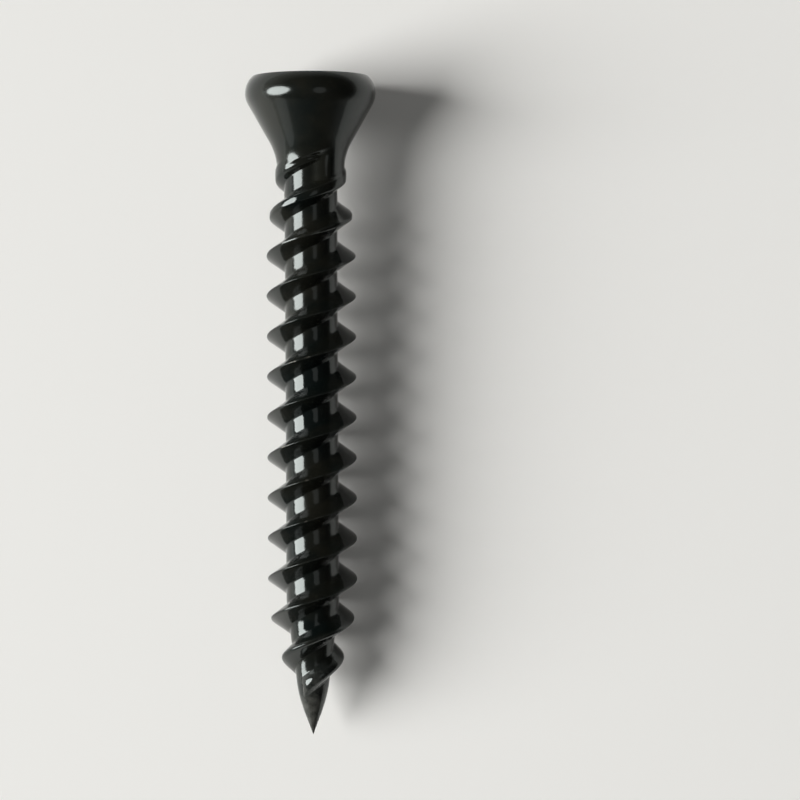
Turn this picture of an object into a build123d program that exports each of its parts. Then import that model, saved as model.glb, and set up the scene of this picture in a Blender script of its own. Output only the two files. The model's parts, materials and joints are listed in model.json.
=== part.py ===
from build123d import *
from math import asin, atan2, ceil, cos, hypot, pi, radians, sin, sqrt, tan
import os

# Trim head screw, in millimetres. Heights are measured along the screw from its tip.
overall_length = 25.4

# Head: a flat face, a rounded rim and a slim cone down to the neck
head_diameter = 5.05
rim_overhang = 0.28
rim_radius = 0.9
cone_half_angle = 29.5
neck_fillet = 2.0

# No. 2 square recess, pressed in with a little draft and a shallow pyramid at its floor
recess_across_flats = 2.82
recess_depth = 1.5
recess_draft = 2.5
recess_floor_drop = 0.3
recess_floor_flat = 0.5

# Shank: the neck keeps the diameter of the blank, and the core under the thread is rolled
# thinner, to its full depth only where the thread is at its full height
neck_diameter = 2.62
neck_land = 0.7
neck_taper_length = 1.0
neck_blend = 1.0
first_root_diameter = 2.08
root_diameter = 2.04

# Point: a sharp cone that eases into a long slow taper up to the full core
point_half_angle = 21.2
point_cone_length = 1.44
point_taper_length = 3.6
point_blend = 4.0

# Twin-start right-hand thread, which swells out of the point and runs out into the neck
major_diameter = 3.46
crest_spacing = 1.556
thread_starts = 2
flank_half_angle = 30.0
crest_flat = 0.08
first_side_crest = 2.9
thread_begin = 1.62
thread_swell_length = 4.2
thread_runout_length = 4.0

# Each turn of a ridge is drawn through this many steps, its foot stands this deep in the core,
# and it goes on this far past its end, inside the neck
sections_per_stretch = 8
foot_depth = 0.08
ridge_overrun = 0.35

head_radius = head_diameter / 2
face_radius = head_radius - rim_overhang
neck_radius = neck_diameter / 2
first_root_radius = first_root_diameter / 2
root_radius = root_diameter / 2
major_radius = major_diameter / 2
thread_height = major_radius - root_radius
lead = thread_starts * crest_spacing
foot_half_width = crest_flat / 2 + (thread_height + foot_depth) * tan(radians(flank_half_angle))

# Heights of the head's widest ring, its cone and its neck
rim_centre_radius = head_radius - rim_radius
rim_height = overall_length - sqrt(rim_radius**2 - (face_radius - rim_centre_radius) ** 2)
cone_top = rim_height - rim_radius * sin(radians(cone_half_angle))
cone_top_radius = rim_centre_radius + rim_radius * cos(radians(cone_half_angle))
cone_bottom = cone_top - (cone_top_radius - neck_radius) / tan(radians(cone_half_angle))
neck_bottom = cone_bottom - neck_land
neck_taper_bottom = neck_bottom - neck_taper_length

# The ridges end halfway up the neck, and the core is at its full depth where they are full
thread_end = neck_bottom + neck_land / 2
core_top = thread_end - thread_runout_length

# Each ridge is made in stretches of about one turn
ridge_length = thread_end + ridge_overrun - thread_begin
ridge_stretches = ceil(ridge_length / lead)

# Top of the point's sharp cone, and of its slow taper
point_cone_radius = point_cone_length * tan(radians(point_half_angle))
point_top = point_cone_length + point_taper_length


def share(height, start, end):
    """How far a height lies along a stretch: 0 up to its start, 1 from its end on."""
    return min(max((height - start) / (end - start), 0), 1)


def core_radius(height):
    """Radius of the core at a height: the point's two cones, then two tapers up to the neck."""
    cone = point_cone_radius * share(height, 0, point_cone_length)
    taper = (root_radius - point_cone_radius) * share(height, point_cone_length, point_top)
    first_root = (first_root_radius - root_radius) * share(height, core_top, neck_taper_bottom)
    neck = (neck_radius - first_root_radius) * share(height, neck_taper_bottom, neck_bottom)
    return cone + taper + first_root + neck


def crest_radius(height):
    """Radius of the crest: it swells out of the point, runs level and sinks into the neck."""
    swell = share(height, thread_begin, thread_begin + thread_swell_length)
    risen = core_radius(height) - foot_depth / 2 * (1 - swell) + thread_height * sqrt(sin(swell * pi / 2))
    runout = min((thread_end - height) / thread_runout_length, 1)
    sunk = neck_radius + (major_radius - neck_radius) * sin(runout * pi / 2)
    return risen if height < core_top else sunk


def ridge_outline(middle):
    """Section of a ridge with its crest at this height, as points (radius, height).

    In the run-out the flanks stay where they are, so the unfilled crest is broad and flat.
    """
    low = middle - foot_half_width
    high = middle + foot_half_width
    crest = crest_radius(middle)
    flat = crest_flat / 2
    if middle > core_top:
        flat += (major_radius - crest) * tan(radians(flank_half_angle))
    return [
        (core_radius(low) - foot_depth, low),
        (crest, middle - flat),
        (crest, middle + flat),
        (core_radius(high) - foot_depth, high),
    ]


def lean_onto(crest):
    """Angle to the floor of a screw that lies on the rim of its head and on this crest."""
    along = rim_height - crest
    across = rim_centre_radius - crest_radius(crest)
    return atan2(across, along) + asin(rim_radius / hypot(along, across))


# The screw lies on the floor along Y, head towards +Y, on its rim and on the crest
# that it meets first. A crest faces the floor a quarter turn below each side crest.
first_floor_crest = first_side_crest - lead / 4
floor_crest_count = ceil((core_top - first_floor_crest) / crest_spacing)
floor_crests = [first_floor_crest + crest_spacing * n for n in range(floor_crest_count)]
lean = min(lean_onto(crest) for crest in floor_crests)
tip_height = rim_centre_radius * cos(lean) + rim_radius - rim_height * sin(lean)
reach = overall_length * cos(lean) + face_radius * sin(lean)
lying = Plane(origin=(0, -reach / 2, tip_height), x_dir=(1, 0, 0), z_dir=(0, cos(lean), sin(lean)))


def axial_plane(angle):
    """Plane through the screw's axis, with X outwards at an angle from +X and Y towards the head."""
    outwards = lying.x_dir * cos(angle) + lying.y_dir * sin(angle)
    return Plane(origin=lying.origin, x_dir=outwards, z_dir=outwards.cross(lying.z_dir))


with BuildPart() as trim_head_screw:
    # Head, neck, core and point, turned from one outline
    with BuildSketch(axial_plane(0)):
        with BuildLine():
            FilletPolyline(
                (0, 0),
                (point_cone_radius, point_cone_length),
                (root_radius, point_top),
                (root_radius, core_top),
                (first_root_radius, neck_taper_bottom),
                (neck_radius, neck_bottom),
                (neck_radius, cone_bottom),
                (cone_top_radius, cone_top),
                radius=[point_blend, point_blend, neck_blend, neck_blend, neck_blend, neck_fillet],
            )
            RadiusArc((cone_top_radius, cone_top), (face_radius, overall_length), -rim_radius)
            Polyline((face_radius, overall_length), (0, overall_length), (0, 0))
        make_face()
    revolve(axis=Axis(lying.origin, lying.z_dir))

    # Two ridges, half a turn apart, each lofted round the core about a turn at a time
    for start in range(thread_starts):
        for stretch in range(ridge_stretches):
            for section in range(sections_per_stretch + 1):
                along = (stretch + section / sections_per_stretch) / ridge_stretches
                middle = thread_begin + ridge_length * along
                turns = (middle - first_side_crest) / lead + start / thread_starts
                with BuildSketch(axial_plane(pi + 2 * pi * turns)):
                    with BuildLine():
                        Polyline(ridge_outline(middle), close=True)
                    make_face()
            loft()

    # Square recess in the face
    with BuildSketch(lying.offset(overall_length)):
        Rectangle(recess_across_flats, recess_across_flats)
    extrude(amount=-recess_depth, taper=recess_draft, mode=Mode.SUBTRACT)
    floor_across_flats = recess_across_flats - 2 * recess_depth * tan(radians(recess_draft))
    with BuildSketch(lying.offset(overall_length - recess_depth)):
        Rectangle(floor_across_flats, floor_across_flats)
    with BuildSketch(lying.offset(overall_length - recess_depth - recess_floor_drop)):
        Rectangle(recess_floor_flat, recess_floor_flat)
    loft(mode=Mode.SUBTRACT)

trim_head_screw.part.label = "trim_head_screw"

os.makedirs("parts", exist_ok=True)
export_step(trim_head_screw.part, "parts/trim_head_screw.step")
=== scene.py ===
import json
from math import asin, atan2, ceil, cos, hypot, pi, radians, sin, sqrt, tan

import bmesh
import bpy
from mathutils import Matrix, Vector, noise


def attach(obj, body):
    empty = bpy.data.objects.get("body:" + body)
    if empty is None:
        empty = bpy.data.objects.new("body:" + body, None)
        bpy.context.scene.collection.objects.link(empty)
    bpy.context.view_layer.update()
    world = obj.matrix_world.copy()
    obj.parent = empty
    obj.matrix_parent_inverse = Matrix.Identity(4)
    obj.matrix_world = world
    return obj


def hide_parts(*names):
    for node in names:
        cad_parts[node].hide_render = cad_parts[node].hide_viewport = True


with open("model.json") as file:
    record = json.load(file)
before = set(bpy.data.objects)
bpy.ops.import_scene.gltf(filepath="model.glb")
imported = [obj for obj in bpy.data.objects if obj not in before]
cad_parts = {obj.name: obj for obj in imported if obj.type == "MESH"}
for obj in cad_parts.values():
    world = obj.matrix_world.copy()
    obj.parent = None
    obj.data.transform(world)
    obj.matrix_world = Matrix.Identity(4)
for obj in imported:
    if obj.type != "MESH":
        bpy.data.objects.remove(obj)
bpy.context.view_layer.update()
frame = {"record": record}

# Thread and shank
# The shank is one bar of carbon steel. Flat dies roll two ridges into it side by side, so the core
# between them is thinner than the blank, which keeps its thickness only in the neck under the head.
# All along the thread the ridges are sharp, with a small round where each flank meets the core.
mm = 0.001

# Two places nearer to each other than this count as one
hair = 0.002 * mm

overall_length = 25.4 * mm
major_radius = 1.73 * mm
root_radius = 1.02 * mm
first_root_radius = 1.04 * mm
neck_radius = 1.31 * mm
neck_land = 0.7 * mm
cone_bottom = 22.363 * mm
neck_bottom = cone_bottom - neck_land

crest_spacing = 1.556 * mm
thread_starts = 2
lead = thread_starts * crest_spacing
flank_half_angle = radians(31.5)
crest_flat = 0.03 * mm
crest_round = 0.012 * mm
root_round = 0.05 * mm
foot_round = 0.05 * mm
first_side_crest = 2.9 * mm

# The ridges swell out of the point, and run out into the neck. Where the metal fills a ridge only
# partly, the bluntness keeps its flanks steep, so that it has a broad low crest with eased edges.
thread_begin = 1.8 * mm
thread_swell_length = 3.9 * mm
bluntness = 0.35
blunt_ease = 0.5
thread_end = neck_bottom + neck_land / 2
thread_runout_length = 4.0 * mm
core_top = thread_end - thread_runout_length

# The groove below a crest fades out while that crest rises from the first height to the second
groove_fade = 22.36 * mm
groove_end = 22.7 * mm

# Steps of the sweep in a turn, how much of a step counts as off it, and the heights of the two trims
steps_per_turn = 144
step_slack = 0.02
thread_foot = 1.05 * mm
shank_top = 23.2 * mm

# Where the outline of the core bends: height, slope above it, and how far to each side it is eased
point_slope = tan(radians(21.2))
point_cone_length = 1.44 * mm
point_taper_length = 3.6 * mm
point_top = point_cone_length + point_taper_length
taper_slope = (root_radius - point_slope * point_cone_length) / point_taper_length
first_root_slope = (first_root_radius - root_radius) / (neck_bottom - core_top)
core_bends = [
    (point_cone_length, taper_slope, 0.6 * mm),
    (point_top, 0.0, 0.3 * mm),
    (core_top, first_root_slope, 0.3 * mm),
    (neck_bottom, 0.0, 0.3 * mm),
]
head_half_angle = radians(29.5)
head_slope = tan(head_half_angle)
neck_ease = 0.54 * mm


def eased_rise(past, reach):
    """How far a line of slope 1 has risen past its start, with the start eased by a short parabola."""
    if past > reach:
        return past
    return max(past + reach, 0.0) ** 2 / (4 * reach)


def core_radius(height):
    """Radius of the rolled core at a height above the tip."""
    radius = point_slope * height
    slope = point_slope
    for bend, next_slope, reach in core_bends:
        radius += (next_slope - slope) * eased_rise(height - bend, reach)
        slope = next_slope
    return radius


def blank_radius(height):
    """Radius of the neck, which isn't rolled, and of the cone above it."""
    return neck_radius + head_slope * eased_rise(height - cone_bottom, neck_ease)


def share(height, start, end):
    """How far a height lies along a stretch: 0 up to its start, 1 from its end on."""
    return min(max((height - start) / (end - start), 0.0), 1.0)


def eased_max(one, other, reach):
    """The larger of two values, with the change from one to the other eased over a reach."""
    return (one + other + hypot(one - other, reach)) / 2


def ridge_lift(height):
    """How much of its full height the ridge has where it swells out of the point."""
    swell = share(height, thread_begin, thread_begin + thread_swell_length)
    return sqrt(sin(swell * pi / 2))


def part_filled(rise, lift):
    """A rise up the section, 0 to 1, where the ridge is filled to a part of its height and so is blunt."""
    steep = rise * (lift + bluntness * (1 - lift))
    return -eased_max(-steep, -lift, blunt_ease * lift * (1 - lift))


def crest_limit(height):
    """Radius that the unfilled crest keeps where it runs out into the neck."""
    runout = min((thread_end - height) / thread_runout_length, 1.0)
    return neck_radius + (major_radius - neck_radius) * sin(runout * pi / 2)


def filled(crest):
    """How much of the blank is left in the groove below a crest: none in the thread, all past its end."""
    fade = share(crest, groove_fade, groove_end)
    return fade * fade * (3 - 2 * fade)


def all_off():
    """Nothing is selected, so that the next operator acts on its own piece alone."""
    if bpy.context.mode != "OBJECT":
        bpy.ops.object.mode_set(mode="OBJECT")
    bpy.ops.object.select_all(action="DESELECT")


def pick_vertices(wanted):
    """Selects the screw's vertices for which wanted(vertex) is true."""
    bpy.ops.object.mode_set(mode="EDIT")
    bpy.ops.mesh.select_mode(type="VERT")
    shape = bmesh.from_edit_mesh(screw.data)
    for vertex in shape.verts:
        vertex.select = wanted(vertex)
    shape.select_flush_mode()


def pick_edges(wanted):
    """Selects the screw's edges for which wanted(edge, one end, other end) is true."""
    bpy.ops.object.mode_set(mode="EDIT")
    bpy.ops.mesh.select_mode(type="EDGE")
    shape = bmesh.from_edit_mesh(screw.data)
    for edge in shape.edges:
        edge.select = wanted(edge, edge.verts[0].co, edge.verts[1].co)
    shape.select_flush_mode()


def pick_open_ring(height):
    """Selects the open edges that run round the screw at this height."""
    pick_edges(lambda edge, one, other: edge.is_boundary and abs((one.z + other.z) / 2 - height) < hair)


# One ridge's section over one crest spacing, from the middle of one root to the next
ridge_height = major_radius - root_radius
ridge_half_width = crest_flat / 2 + ridge_height * tan(flank_half_angle)
root_land = crest_spacing - 2 * ridge_half_width

# The sweep starts a whole number of crests below the point, so that it is complete from there up
sweep_start = first_side_crest - crest_spacing / 2 - 3 * crest_spacing


def at_root_middle(height):
    """Whether a height in the section is the middle of a root."""
    return abs(height - sweep_start - crest_spacing * round((height - sweep_start) / crest_spacing)) < hair


all_off()
bpy.ops.mesh.primitive_plane_add(size=mm)
screw = bpy.context.object
screw.name = "coated_screw"
bpy.ops.object.mode_set(mode="EDIT")
bpy.ops.mesh.merge(type="CENTER")
bpy.ops.transform.translate(value=(root_radius, 0, sweep_start))
for ridge in range(thread_starts):
    for out, up in [
        (0, root_land / 2),
        (ridge_height, ridge_half_width - crest_flat / 2),
        (0, crest_flat),
        (-ridge_height, ridge_half_width - crest_flat / 2),
        (0, root_land / 2),
    ]:
        bpy.ops.mesh.extrude_region_move(TRANSFORM_OT_translate={"value": (out, 0, up)})

# The corners are rounded, the roots more than the crests, and the land and flanks are divided
pick_vertices(lambda vertex: vertex.co.x < root_radius + hair and not at_root_middle(vertex.co.z))
bpy.ops.mesh.bevel(affect="VERTICES", offset=root_round, segments=4)
pick_vertices(lambda vertex: vertex.co.x > major_radius - hair)
bpy.ops.mesh.bevel(affect="VERTICES", offset=crest_round, segments=3)
pick_edges(lambda edge, one, other: abs(one.x - other.x) > ridge_height / 2)
bpy.ops.mesh.subdivide(number_cuts=7)
pick_edges(lambda edge, one, other: max(one.x, other.x) < root_radius + hair)
bpy.ops.mesh.subdivide(number_cuts=1)
bpy.ops.object.mode_set(mode="OBJECT")

# The section is swept up the lead, turn after turn, and trimmed below the first ridge and on the cone
winding = screw.modifiers.new("rolled thread", "SCREW")
winding.axis = "Z"
winding.screw_offset = lead
winding.iterations = ceil((shank_top - sweep_start) / lead)
winding.steps = steps_per_turn
winding.render_steps = steps_per_turn
winding.use_merge_vertices = True
winding.merge_threshold = hair / 10
bpy.ops.object.modifier_apply(modifier=winding.name)
bpy.ops.object.mode_set(mode="EDIT")
bpy.ops.mesh.select_all(action="SELECT")
bpy.ops.mesh.remove_doubles(threshold=hair / 10)
bpy.ops.mesh.bisect(plane_co=(0, 0, thread_foot), plane_no=(0, 0, 1), clear_inner=True, threshold=hair / 100)
bpy.ops.mesh.select_all(action="SELECT")
bpy.ops.mesh.bisect(plane_co=(0, 0, shank_top), plane_no=(0, 0, 1), clear_outer=True, threshold=hair / 100)


def between_steps(vertex):
    """Whether a vertex of a trimmed ring lies between two steps of the sweep."""
    step = atan2(vertex.co.y, vertex.co.x) / (2 * pi / steps_per_turn)
    return vertex.is_boundary and abs(step - round(step)) > step_slack


pick_vertices(between_steps)
bpy.ops.mesh.dissolve_verts()
bpy.ops.object.mode_set(mode="OBJECT")

# The straight bar is given its taper and its swelling ridges. In the run-out the flanks stay where
# they are, the crest between them is broad and rounded, and the last groove fades out in the neck.
shoulder_low = 0.3 * mm
shoulder_high = 0.05 * mm
limit_ease = 0.2
foot_share = 0.3
proud = screw.data.attributes.new("proud", "FLOAT", "POINT")
for vertex in screw.data.vertices:
    place = vertex.co
    radius = hypot(place.x, place.y)
    rise = (radius - root_radius) / ridge_height
    turn = atan2(place.y, place.x) / pi - 1
    off_crest = (place.z - first_side_crest) / crest_spacing - turn
    crest_height = place.z - (off_crest - round(off_crest)) * crest_spacing
    crest_above = crest_height if crest_height > place.z else crest_height + crest_spacing
    shoulder = share(place.z, crest_above - shoulder_low, crest_above - shoulder_high)
    fill = filled(crest_above) + (filled(crest_above + crest_spacing) - filled(crest_above)) * shoulder
    core = core_radius(place.z)
    core += (blank_radius(place.z) - core) * fill
    lifted = core + min(ridge_height, major_radius - core) * part_filled(rise, ridge_lift(crest_height))
    if crest_height > core_top:
        limit = crest_limit(crest_height)
        lifted = -eased_max(-radius, -limit, limit_ease * (major_radius - limit))
        foot = min(foot_share * max(core - root_radius, 0.0), foot_round)
        lifted = eased_max(lifted, core, foot * (1 - share(place.z, thread_end, cone_bottom)))
    place.x *= lifted / radius
    place.y *= lifted / radius
    proud.data[vertex.index].value = (lifted - core) / ridge_height

# Point
# The end of the blank is pinched to a sharp cone by the same dies, and the ridges start on it. Its
# paint is the first to rub thin, because it is what knocks against other screws.
tip_rings = (0.94, 0.83, 0.72, 0.61, 0.5, 0.4, 0.3, 0.21, 0.13, 0.07, 0.03, 0.01)
worn_to = 1.2 * mm
sound_from = 3.0 * mm


def ring_place():
    """Radius and height of the selected ring."""
    shape = bmesh.from_edit_mesh(screw.data)
    place = next(vertex.co for vertex in shape.verts if vertex.select)
    return hypot(place.x, place.y), place.z


def draw_ring(radius, height):
    """Extrudes the selected ring to another radius and height on the screw's axis."""
    old_radius, old_height = ring_place()
    bpy.ops.mesh.extrude_region_move(TRANSFORM_OT_translate={"value": (0, 0, height - old_height)})
    size = radius / old_radius
    bpy.ops.transform.resize(value=(size, size, 1), center_override=(0, 0, height))


pick_open_ring(thread_foot)
for height in tip_rings:
    draw_ring(core_radius(height * mm), height * mm)
bpy.ops.mesh.extrude_region_move(TRANSFORM_OT_translate={"value": (0, 0, -tip_rings[-1] * mm)})
bpy.ops.mesh.merge(type="CENTER")
bpy.ops.object.mode_set(mode="OBJECT")

# How near each place is to the tip. The head is drawn on from the shank, and so starts with its 0.
tip_wear = screw.data.attributes.new("near_tip", "FLOAT", "POINT")
for vertex in screw.data.vertices:
    tip_wear.data[vertex.index].value = 1 - share(vertex.co.z, worn_to, sound_from)

# Head
# The head is cold headed from the same blank: a slim cone, a rounded rim and a flat face. It is drawn
# on from the shank, ring by ring.
head_radius = 2.525 * mm
rim_radius = 0.9 * mm
face_radius = 2.245 * mm
rim_centre_radius = head_radius - rim_radius
rim_height = overall_length - sqrt(rim_radius**2 - (face_radius - rim_centre_radius) ** 2)
rim_start = -head_half_angle
rim_stop = atan2(overall_length - rim_height, face_radius - rim_centre_radius)
cone_top = rim_height + rim_radius * sin(rim_start)
cone_rings = 10
rim_rings = 22

pick_open_ring(shank_top)
for ring in range(1, cone_rings):
    height = shank_top + (cone_top - shank_top) * ring / cone_rings
    draw_ring(blank_radius(height), height)
for ring in range(rim_rings + 1):
    angle = rim_start + (rim_stop - rim_start) * ring / rim_rings
    draw_ring(rim_centre_radius + rim_radius * cos(angle), rim_height + rim_radius * sin(angle))
bpy.ops.object.mode_set(mode="OBJECT")

# Rolling and heading leave the surface a little uneven, which the gloss shows. It only sinks, less so
# near the flat face, and at the tip by a small share of the radius at most.
uneven = 0.008 * mm
wave_length = 0.9 * mm
ripple_length = 0.35 * mm
ripple_share = 0.4
face_edge = 24.9 * mm
face_calm = face_edge - 0.6 * mm
most_sunk = 0.03
for vertex in screw.data.vertices:
    place = vertex.co
    radius = hypot(place.x, place.y)
    if radius > hair:
        waves = noise.noise(place / wave_length) + ripple_share * noise.noise(place / ripple_length)
        dip = min(max(0.5 + 0.5 * waves, 0.0), 1.0)
        sunk = uneven * (0.5 + dip * (1 - share(place.z, face_calm, face_edge)))
        size = 1 - min(sunk, most_sunk * radius) / radius
        place.x *= size
        place.y *= size

# Square recess
# A punch presses the recess into the face: a square with sharp corners and a little draft, whose
# floor is the punch's shallow pyramid.
recess_half_width = 1.41 * mm
recess_depth = 1.5 * mm
recess_draft = radians(2.5)
recess_floor_drop = 0.3 * mm
recess_floor_half_width = 0.25 * mm
mouth_round = 0.02 * mm


def square_ring(half_width, height):
    """Extrudes the selected ring to a square on the screw's axis, each vertex along its own radius."""
    old_height = ring_place()[1]
    bpy.ops.mesh.extrude_region_move(TRANSFORM_OT_translate={"value": (0, 0, height - old_height)})
    shape = bmesh.from_edit_mesh(screw.data)
    for vertex in shape.verts:
        if vertex.select:
            size = half_width / max(abs(vertex.co.x), abs(vertex.co.y))
            vertex.co.x *= size
            vertex.co.y *= size
    bmesh.update_edit_mesh(screw.data)


pick_open_ring(overall_length)
square_ring(recess_half_width + mouth_round, overall_length)
square_ring(recess_half_width, overall_length - mouth_round)
square_ring(recess_half_width - recess_depth * tan(recess_draft), overall_length - recess_depth)
square_ring(recess_floor_half_width, overall_length - recess_depth - recess_floor_drop)
bpy.ops.mesh.extrude_region_move()
bpy.ops.mesh.merge(type="CENTER")
bpy.ops.mesh.select_all(action="SELECT")
bpy.ops.mesh.normals_make_consistent(inside=False)
bpy.ops.object.mode_set(mode="OBJECT")

# Lying on the floor
# The screw rests on the rim of its head and on a crest near the point. It takes its place from the
# record's mounts, so it lies as the frame has it.
mounts = {mount["name"]: mount for mount in frame["record"]["mounts"]}
axis = Vector(mounts["drive_recess"]["axis"])
face_centre = Vector(mounts["drive_recess"]["pos_m"])
tip = face_centre - axis * overall_length
screw.rotation_euler = (asin(axis.z) - pi / 2, 0, 0)
screw.location = tip
bpy.ops.object.transform_apply()
all_off()
screw.select_set(True)
bpy.context.view_layer.objects.active = screw
bpy.ops.object.shade_smooth_by_angle(angle=radians(35))
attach(screw, "root")
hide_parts("trim_head_screw")


# Black coat
# The whole screw is dipped in thin black paint and baked. It dries glossy and a little uneven, and it
# rubs thin on the crests and round the point, where screws knock against each other in the box.
def from_hex(code):
    """A colour written as sRGB hex, in the linear values that shaders take."""
    parts = [int(code[at : at + 2], 16) / 255 for at in (1, 3, 5)]
    return [part / 12.92 if part <= 0.04045 else ((part + 0.055) / 1.055) ** 2.4 for part in parts] + [1.0]


def add_node(tree, kind, settings=(), links=()):
    """Adds a node to a material's tree, sets its settings and inputs by name, and links its inputs."""
    node = tree.nodes.new(kind)
    for name, value in dict(settings).items():
        if isinstance(name, int) or name in node.inputs:
            node.inputs[name].default_value = value
        else:
            setattr(node, name, value)
    for name, source in dict(links).items():
        tree.links.new(source, node.inputs[name])
    return node


# Black paint over phosphate, dipped and baked: a wet gloss with a faint green cast, mottled over
# some millimetres, with fine grain in it. On the sharpest crests it is rubbed down to grey steel
# here and there, and round the tip it is scuffed thin and grey.
coat = bpy.data.materials.new("black baked paint on steel")
coat.use_nodes = True
tree = coat.node_tree
tree.nodes.clear()
place = add_node(tree, "ShaderNodeTexCoord").outputs["Object"]
clouds = add_node(
    tree,
    "ShaderNodeTexNoise",
    {"Scale": 0.5 / mm, "Detail": 3.0, "Roughness": 0.55},
    {"Vector": place},
)
tones = add_node(tree, "ShaderNodeValToRGB", {}, {"Fac": clouds.outputs["Fac"]})
tones.color_ramp.elements[0].position = 0.38
tones.color_ramp.elements[0].color = from_hex("#0C1110")
tones.color_ramp.elements[1].position = 0.62
tones.color_ramp.elements[1].color = from_hex("#1A1A15")
grain = add_node(
    tree,
    "ShaderNodeTexNoise",
    {"Scale": 7.0 / mm, "Detail": 3.0, "Roughness": 0.6},
    {"Vector": place},
)
gloss = add_node(
    tree,
    "ShaderNodeMapRange",
    {"From Min": 0.35, "From Max": 0.65, "To Min": 0.1, "To Max": 0.2},
    {"Value": clouds.outputs["Fac"]},
)
skin = add_node(
    tree,
    "ShaderNodeBump",
    {"Strength": 0.25, "Distance": 0.006 * mm},
    {"Height": grain.outputs["Fac"]},
)
crest = add_node(tree, "ShaderNodeAttribute", {"attribute_name": "proud"})
edge = add_node(
    tree,
    "ShaderNodeMapRange",
    {"From Min": 0.96, "From Max": 0.995},
    {"Value": crest.outputs["Fac"]},
)
chips = add_node(
    tree,
    "ShaderNodeTexNoise",
    {"Scale": 2.2 / mm, "Detail": 4.0, "Roughness": 0.65},
    {"Vector": place},
)
rubbed = add_node(
    tree,
    "ShaderNodeMapRange",
    {"From Min": 0.63, "From Max": 0.72},
    {"Value": chips.outputs["Fac"]},
)
bare = add_node(
    tree,
    "ShaderNodeMath",
    {"operation": "MULTIPLY"},
    {0: edge.outputs["Result"], 1: rubbed.outputs["Result"]},
)
near_tip = add_node(tree, "ShaderNodeAttribute", {"attribute_name": "near_tip"})
scuffs = add_node(
    tree,
    "ShaderNodeTexNoise",
    {"Scale": 3.0 / mm, "Detail": 4.0, "Roughness": 0.6},
    {"Vector": place},
)
scuffed = add_node(
    tree,
    "ShaderNodeMapRange",
    {"From Min": 0.3, "From Max": 0.7},
    {"Value": scuffs.outputs["Fac"]},
)
thin = add_node(
    tree,
    "ShaderNodeMath",
    {"operation": "MULTIPLY"},
    {0: near_tip.outputs["Fac"], 1: scuffed.outputs["Result"]},
)
thinned = add_node(
    tree,
    "ShaderNodeMix",
    {"data_type": "RGBA", "B": from_hex("#4A4A46")},
    {"Factor": thin.outputs["Value"], "A": tones.outputs["Color"]},
)
surface = add_node(
    tree,
    "ShaderNodeMix",
    {"data_type": "RGBA", "B": from_hex("#77746C")},
    {"Factor": bare.outputs["Value"], "A": thinned.outputs["Result"]},
)
paint = add_node(
    tree,
    "ShaderNodeBsdfPrincipled",
    {"IOR": 1.5, "Specular Tint": from_hex("#E6F0EC"), "Coat Weight": 0.2, "Coat Roughness": 0.05},
    {
        "Base Color": surface.outputs["Result"],
        "Metallic": bare.outputs["Value"],
        "Roughness": gloss.outputs["Result"],
        "Normal": skin.outputs["Normal"],
    },
)
add_node(tree, "ShaderNodeOutputMaterial", {}, {"Surface": paint.outputs["BSDF"]})

# Header's face: the same paint, thin over the steel that the rough punch left, so it is grey and dull.
punched = bpy.data.materials.new("thin black paint on punched steel")
punched.use_nodes = True
tree = punched.node_tree
tree.nodes.clear()
place = add_node(tree, "ShaderNodeTexCoord").outputs["Object"]
grit = add_node(
    tree,
    "ShaderNodeTexNoise",
    {"Scale": 8.0 / mm, "Detail": 5.0, "Roughness": 0.75},
    {"Vector": place},
)
greys = add_node(tree, "ShaderNodeValToRGB", {}, {"Fac": grit.outputs["Fac"]})
greys.color_ramp.elements[0].position = 0.35
greys.color_ramp.elements[0].color = from_hex("#343636")
greys.color_ramp.elements[1].position = 0.7
greys.color_ramp.elements[1].color = from_hex("#6A6B6B")
dents = add_node(
    tree,
    "ShaderNodeBump",
    {"Strength": 0.6, "Distance": 0.02 * mm},
    {"Height": grit.outputs["Fac"]},
)
dull = add_node(
    tree,
    "ShaderNodeBsdfPrincipled",
    {"IOR": 1.55, "Roughness": 0.48},
    {"Base Color": greys.outputs["Color"], "Normal": dents.outputs["Normal"]},
)
add_node(tree, "ShaderNodeOutputMaterial", {}, {"Surface": dull.outputs["BSDF"]})

# Inside of the recess: painted shade. The same coat is given a darker, mottled black with little gloss and a
# weak reflection, so that the deep recess looks dark.
recess_shade = bpy.data.materials.new("painted shade in the recess")
recess_shade.use_nodes = True
tree = recess_shade.node_tree
tree.nodes.clear()
place = add_node(tree, "ShaderNodeTexCoord").outputs["Object"]
# Mottle and fine bumps of the painted shade in the recess
runs = add_node(
    tree,
    "ShaderNodeTexNoise",
    {"Scale": 3.0 / mm, "Detail": 3.0, "Roughness": 0.6},
    {"Vector": place},
)
blacks = add_node(tree, "ShaderNodeValToRGB", {}, {"Fac": runs.outputs["Fac"]})
blacks.color_ramp.elements[0].position = 0.35
blacks.color_ramp.elements[0].color = from_hex("#070808")
blacks.color_ramp.elements[1].position = 0.7
blacks.color_ramp.elements[1].color = from_hex("#101111")
recess_shade_bumps = add_node(
    tree,
    "ShaderNodeBump",
    {"Strength": 0.5, "Distance": 0.01 * mm},
    {"Height": runs.outputs["Fac"]},
)
deep = add_node(
    tree,
    "ShaderNodeBsdfPrincipled",
    {"IOR": 1.5, "Specular IOR Level": 0.2, "Roughness": 0.5},
    {"Base Color": blacks.outputs["Color"], "Normal": recess_shade_bumps.outputs["Normal"]},
)
add_node(tree, "ShaderNodeOutputMaterial", {}, {"Surface": deep.outputs["BSDF"]})

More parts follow.
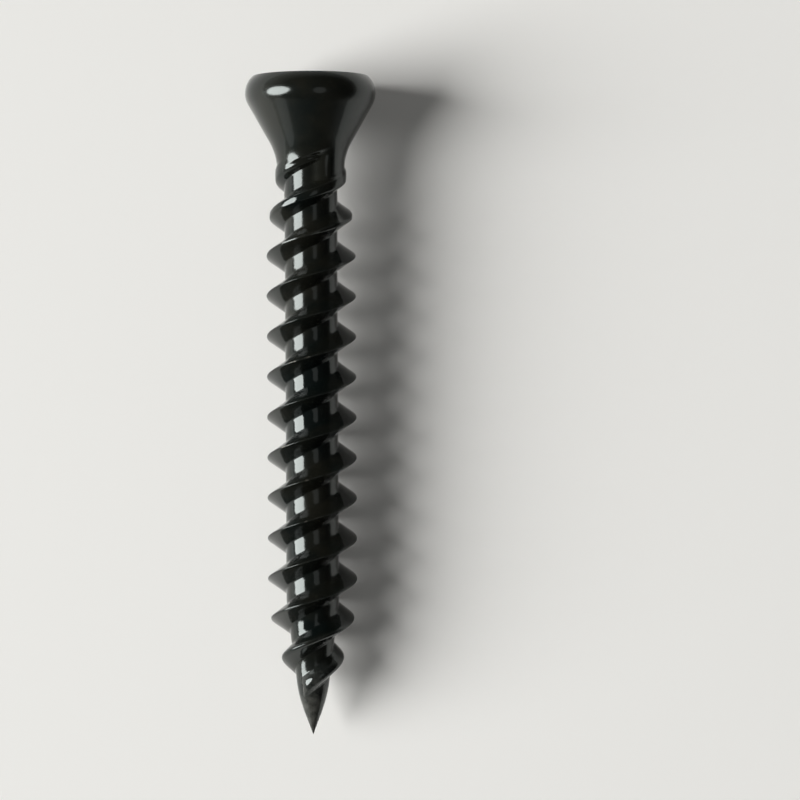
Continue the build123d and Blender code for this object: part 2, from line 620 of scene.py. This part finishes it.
# Each face of the mesh takes its finish by its depth below the header's face and its distance from the axis,
# less than a corner's in the recess: the coat, the dull face, or the painted shade inside the recess. The
# rounded edge of its mouth keeps the gloss.
recess_corner = sqrt(2) * recess_half_width
recess_bottom = recess_depth + recess_floor_drop + hair
for finish in (coat, punched, recess_shade):
    screw.data.materials.append(finish)
for face in screw.data.polygons:
    from_face = face.center - face_centre
    depth = -from_face.dot(axis)
    off_axis = (from_face + axis * depth).length
    if depth < hair:
        face.material_index = 1
    elif mouth_round < depth < recess_bottom and off_axis < recess_corner:
        # Faces inside the recess take the painted shade, a darker and duller black than the coat
        face.material_index = 2

# Floor
# A plain sheet of pale matt card under the screw, wide enough to fill the view from every side. It
# glows a little to the camera and in reflections alone, so that it looks pale without more light.
floor_size = 3.0
floor_glow = 0.05

all_off()
bpy.ops.mesh.primitive_plane_add(size=floor_size)
floor = bpy.context.object
floor.name = "floor"
sheet = bpy.data.materials.new("pale matt card")
sheet.use_nodes = True
tree = sheet.node_tree
tree.nodes.clear()
rays = add_node(tree, "ShaderNodeLightPath")
mirrored = add_node(
    tree,
    "ShaderNodeMath",
    {"operation": "MAXIMUM"},
    {0: rays.outputs["Is Glossy Ray"], 1: rays.outputs["Is Transmission Ray"]},
)
seen = add_node(
    tree,
    "ShaderNodeMath",
    {"operation": "MAXIMUM"},
    {0: rays.outputs["Is Camera Ray"], 1: mirrored.outputs["Value"]},
)
glow = add_node(tree, "ShaderNodeMath", {"operation": "MULTIPLY", 1: floor_glow}, {0: seen.outputs["Value"]})
card = add_node(
    tree,
    "ShaderNodeBsdfPrincipled",
    {"Base Color": from_hex("#F0EFEB"), "Emission Color": from_hex("#F0EFEB"), "Roughness": 0.9},
    {"Emission Strength": glow.outputs["Value"]},
)
add_node(tree, "ShaderNodeOutputMaterial", {}, {"Surface": card.outputs["BSDF"]})
floor.data.materials.append(sheet)

# Studio light
# A tall round-edged softbox stands on the left of the screw. A grey card stands beyond it, towards the
# point, and a dim panel hangs overhead. The room is pale near the floor on the left, and dark above.


def hang_panel(name, place, turn, size, radiance):
    """An elliptical light with an even radiance, in W/(m2 sr). The camera doesn't see it itself."""
    all_off()
    bpy.ops.object.light_add(type="AREA", location=place, rotation=turn)
    panel = bpy.context.object
    panel.name = name
    panel.data.shape = "ELLIPSE"
    panel.data.size, panel.data.size_y = size
    area = pi / 4 * size[0] * size[1]
    panel.data.energy = radiance * pi * area
    panel.visible_camera = False


upright = (0, -pi / 2, 0)
leaning = (0, radians(18), 0)
hang_panel("softbox", (-600 * mm, -75 * mm, 471 * mm), upright, (750 * mm, 450 * mm), 13.0)
hang_panel("grey card", (-570 * mm, -750 * mm, 180 * mm), upright, (345 * mm, 720 * mm), 0.46)
hang_panel("overhead panel", (85 * mm, -45 * mm, 262 * mm), leaning, (110 * mm, 150 * mm), 0.4)

right_dimming = 0.45
room = bpy.data.worlds.new("studio")
bpy.context.scene.world = room
room.use_nodes = True
tree = room.node_tree
tree.nodes.clear()
direction = add_node(tree, "ShaderNodeTexCoord").outputs["Generated"]
toward = add_node(tree, "ShaderNodeSeparateXYZ", {}, {"Vector": direction})
rightwards = add_node(tree, "ShaderNodeMath", {"operation": "MAXIMUM", 1: 0.0}, {0: toward.outputs["X"]})
dimming = add_node(
    tree,
    "ShaderNodeMath",
    {"operation": "MULTIPLY_ADD", 1: right_dimming},
    {0: rightwards.outputs["Value"], 2: toward.outputs["Z"]},
)
walls = add_node(tree, "ShaderNodeValToRGB", {}, {"Fac": dimming.outputs["Value"]})
walls.color_ramp.elements[0].position = 0.0
walls.color_ramp.elements[0].color = from_hex("#C4C4C1")
walls.color_ramp.elements[1].position = 0.6
walls.color_ramp.elements[1].color = from_hex("#303030")
halfway = walls.color_ramp.elements.new(0.34)
halfway.color = from_hex("#8A8A88")
light = add_node(tree, "ShaderNodeBackground", {}, {"Color": walls.outputs["Color"]})
add_node(tree, "ShaderNodeOutputWorld", {}, {"Surface": light.outputs["Background"]})

# Camera
# It looks squarely at the lying screw from 125 mm above it, a little to its right, with a long lens,
# so that the screw stands in the frame as in the photograph.
camera_distance = 125 * mm
camera_aside = 3.405 * mm
camera_ahead = 0.215 * mm
camera_roll = -0.0047
focal_pixels = 3237.7
picture_width = 800

forward = Vector((0, axis.z, -axis.y))
right = Vector((1, 0, 0)) * cos(camera_roll) + axis * sin(camera_roll)
up = axis * cos(camera_roll) - Vector((1, 0, 0)) * sin(camera_roll)
middle = tip + axis * overall_length / 2
all_off()
bpy.ops.object.camera_add()
camera = bpy.context.object
camera.matrix_world = Matrix((right, up, -forward)).transposed().to_4x4()
camera.location = middle + right * camera_aside + up * camera_ahead - forward * camera_distance
camera.data.lens = camera.data.sensor_width * focal_pixels / picture_width
camera.data.clip_start = camera_distance / 10
camera.data.clip_end = 10.0
bpy.context.scene.camera = camera
bpy.context.scene.view_settings.view_transform = "Standard"
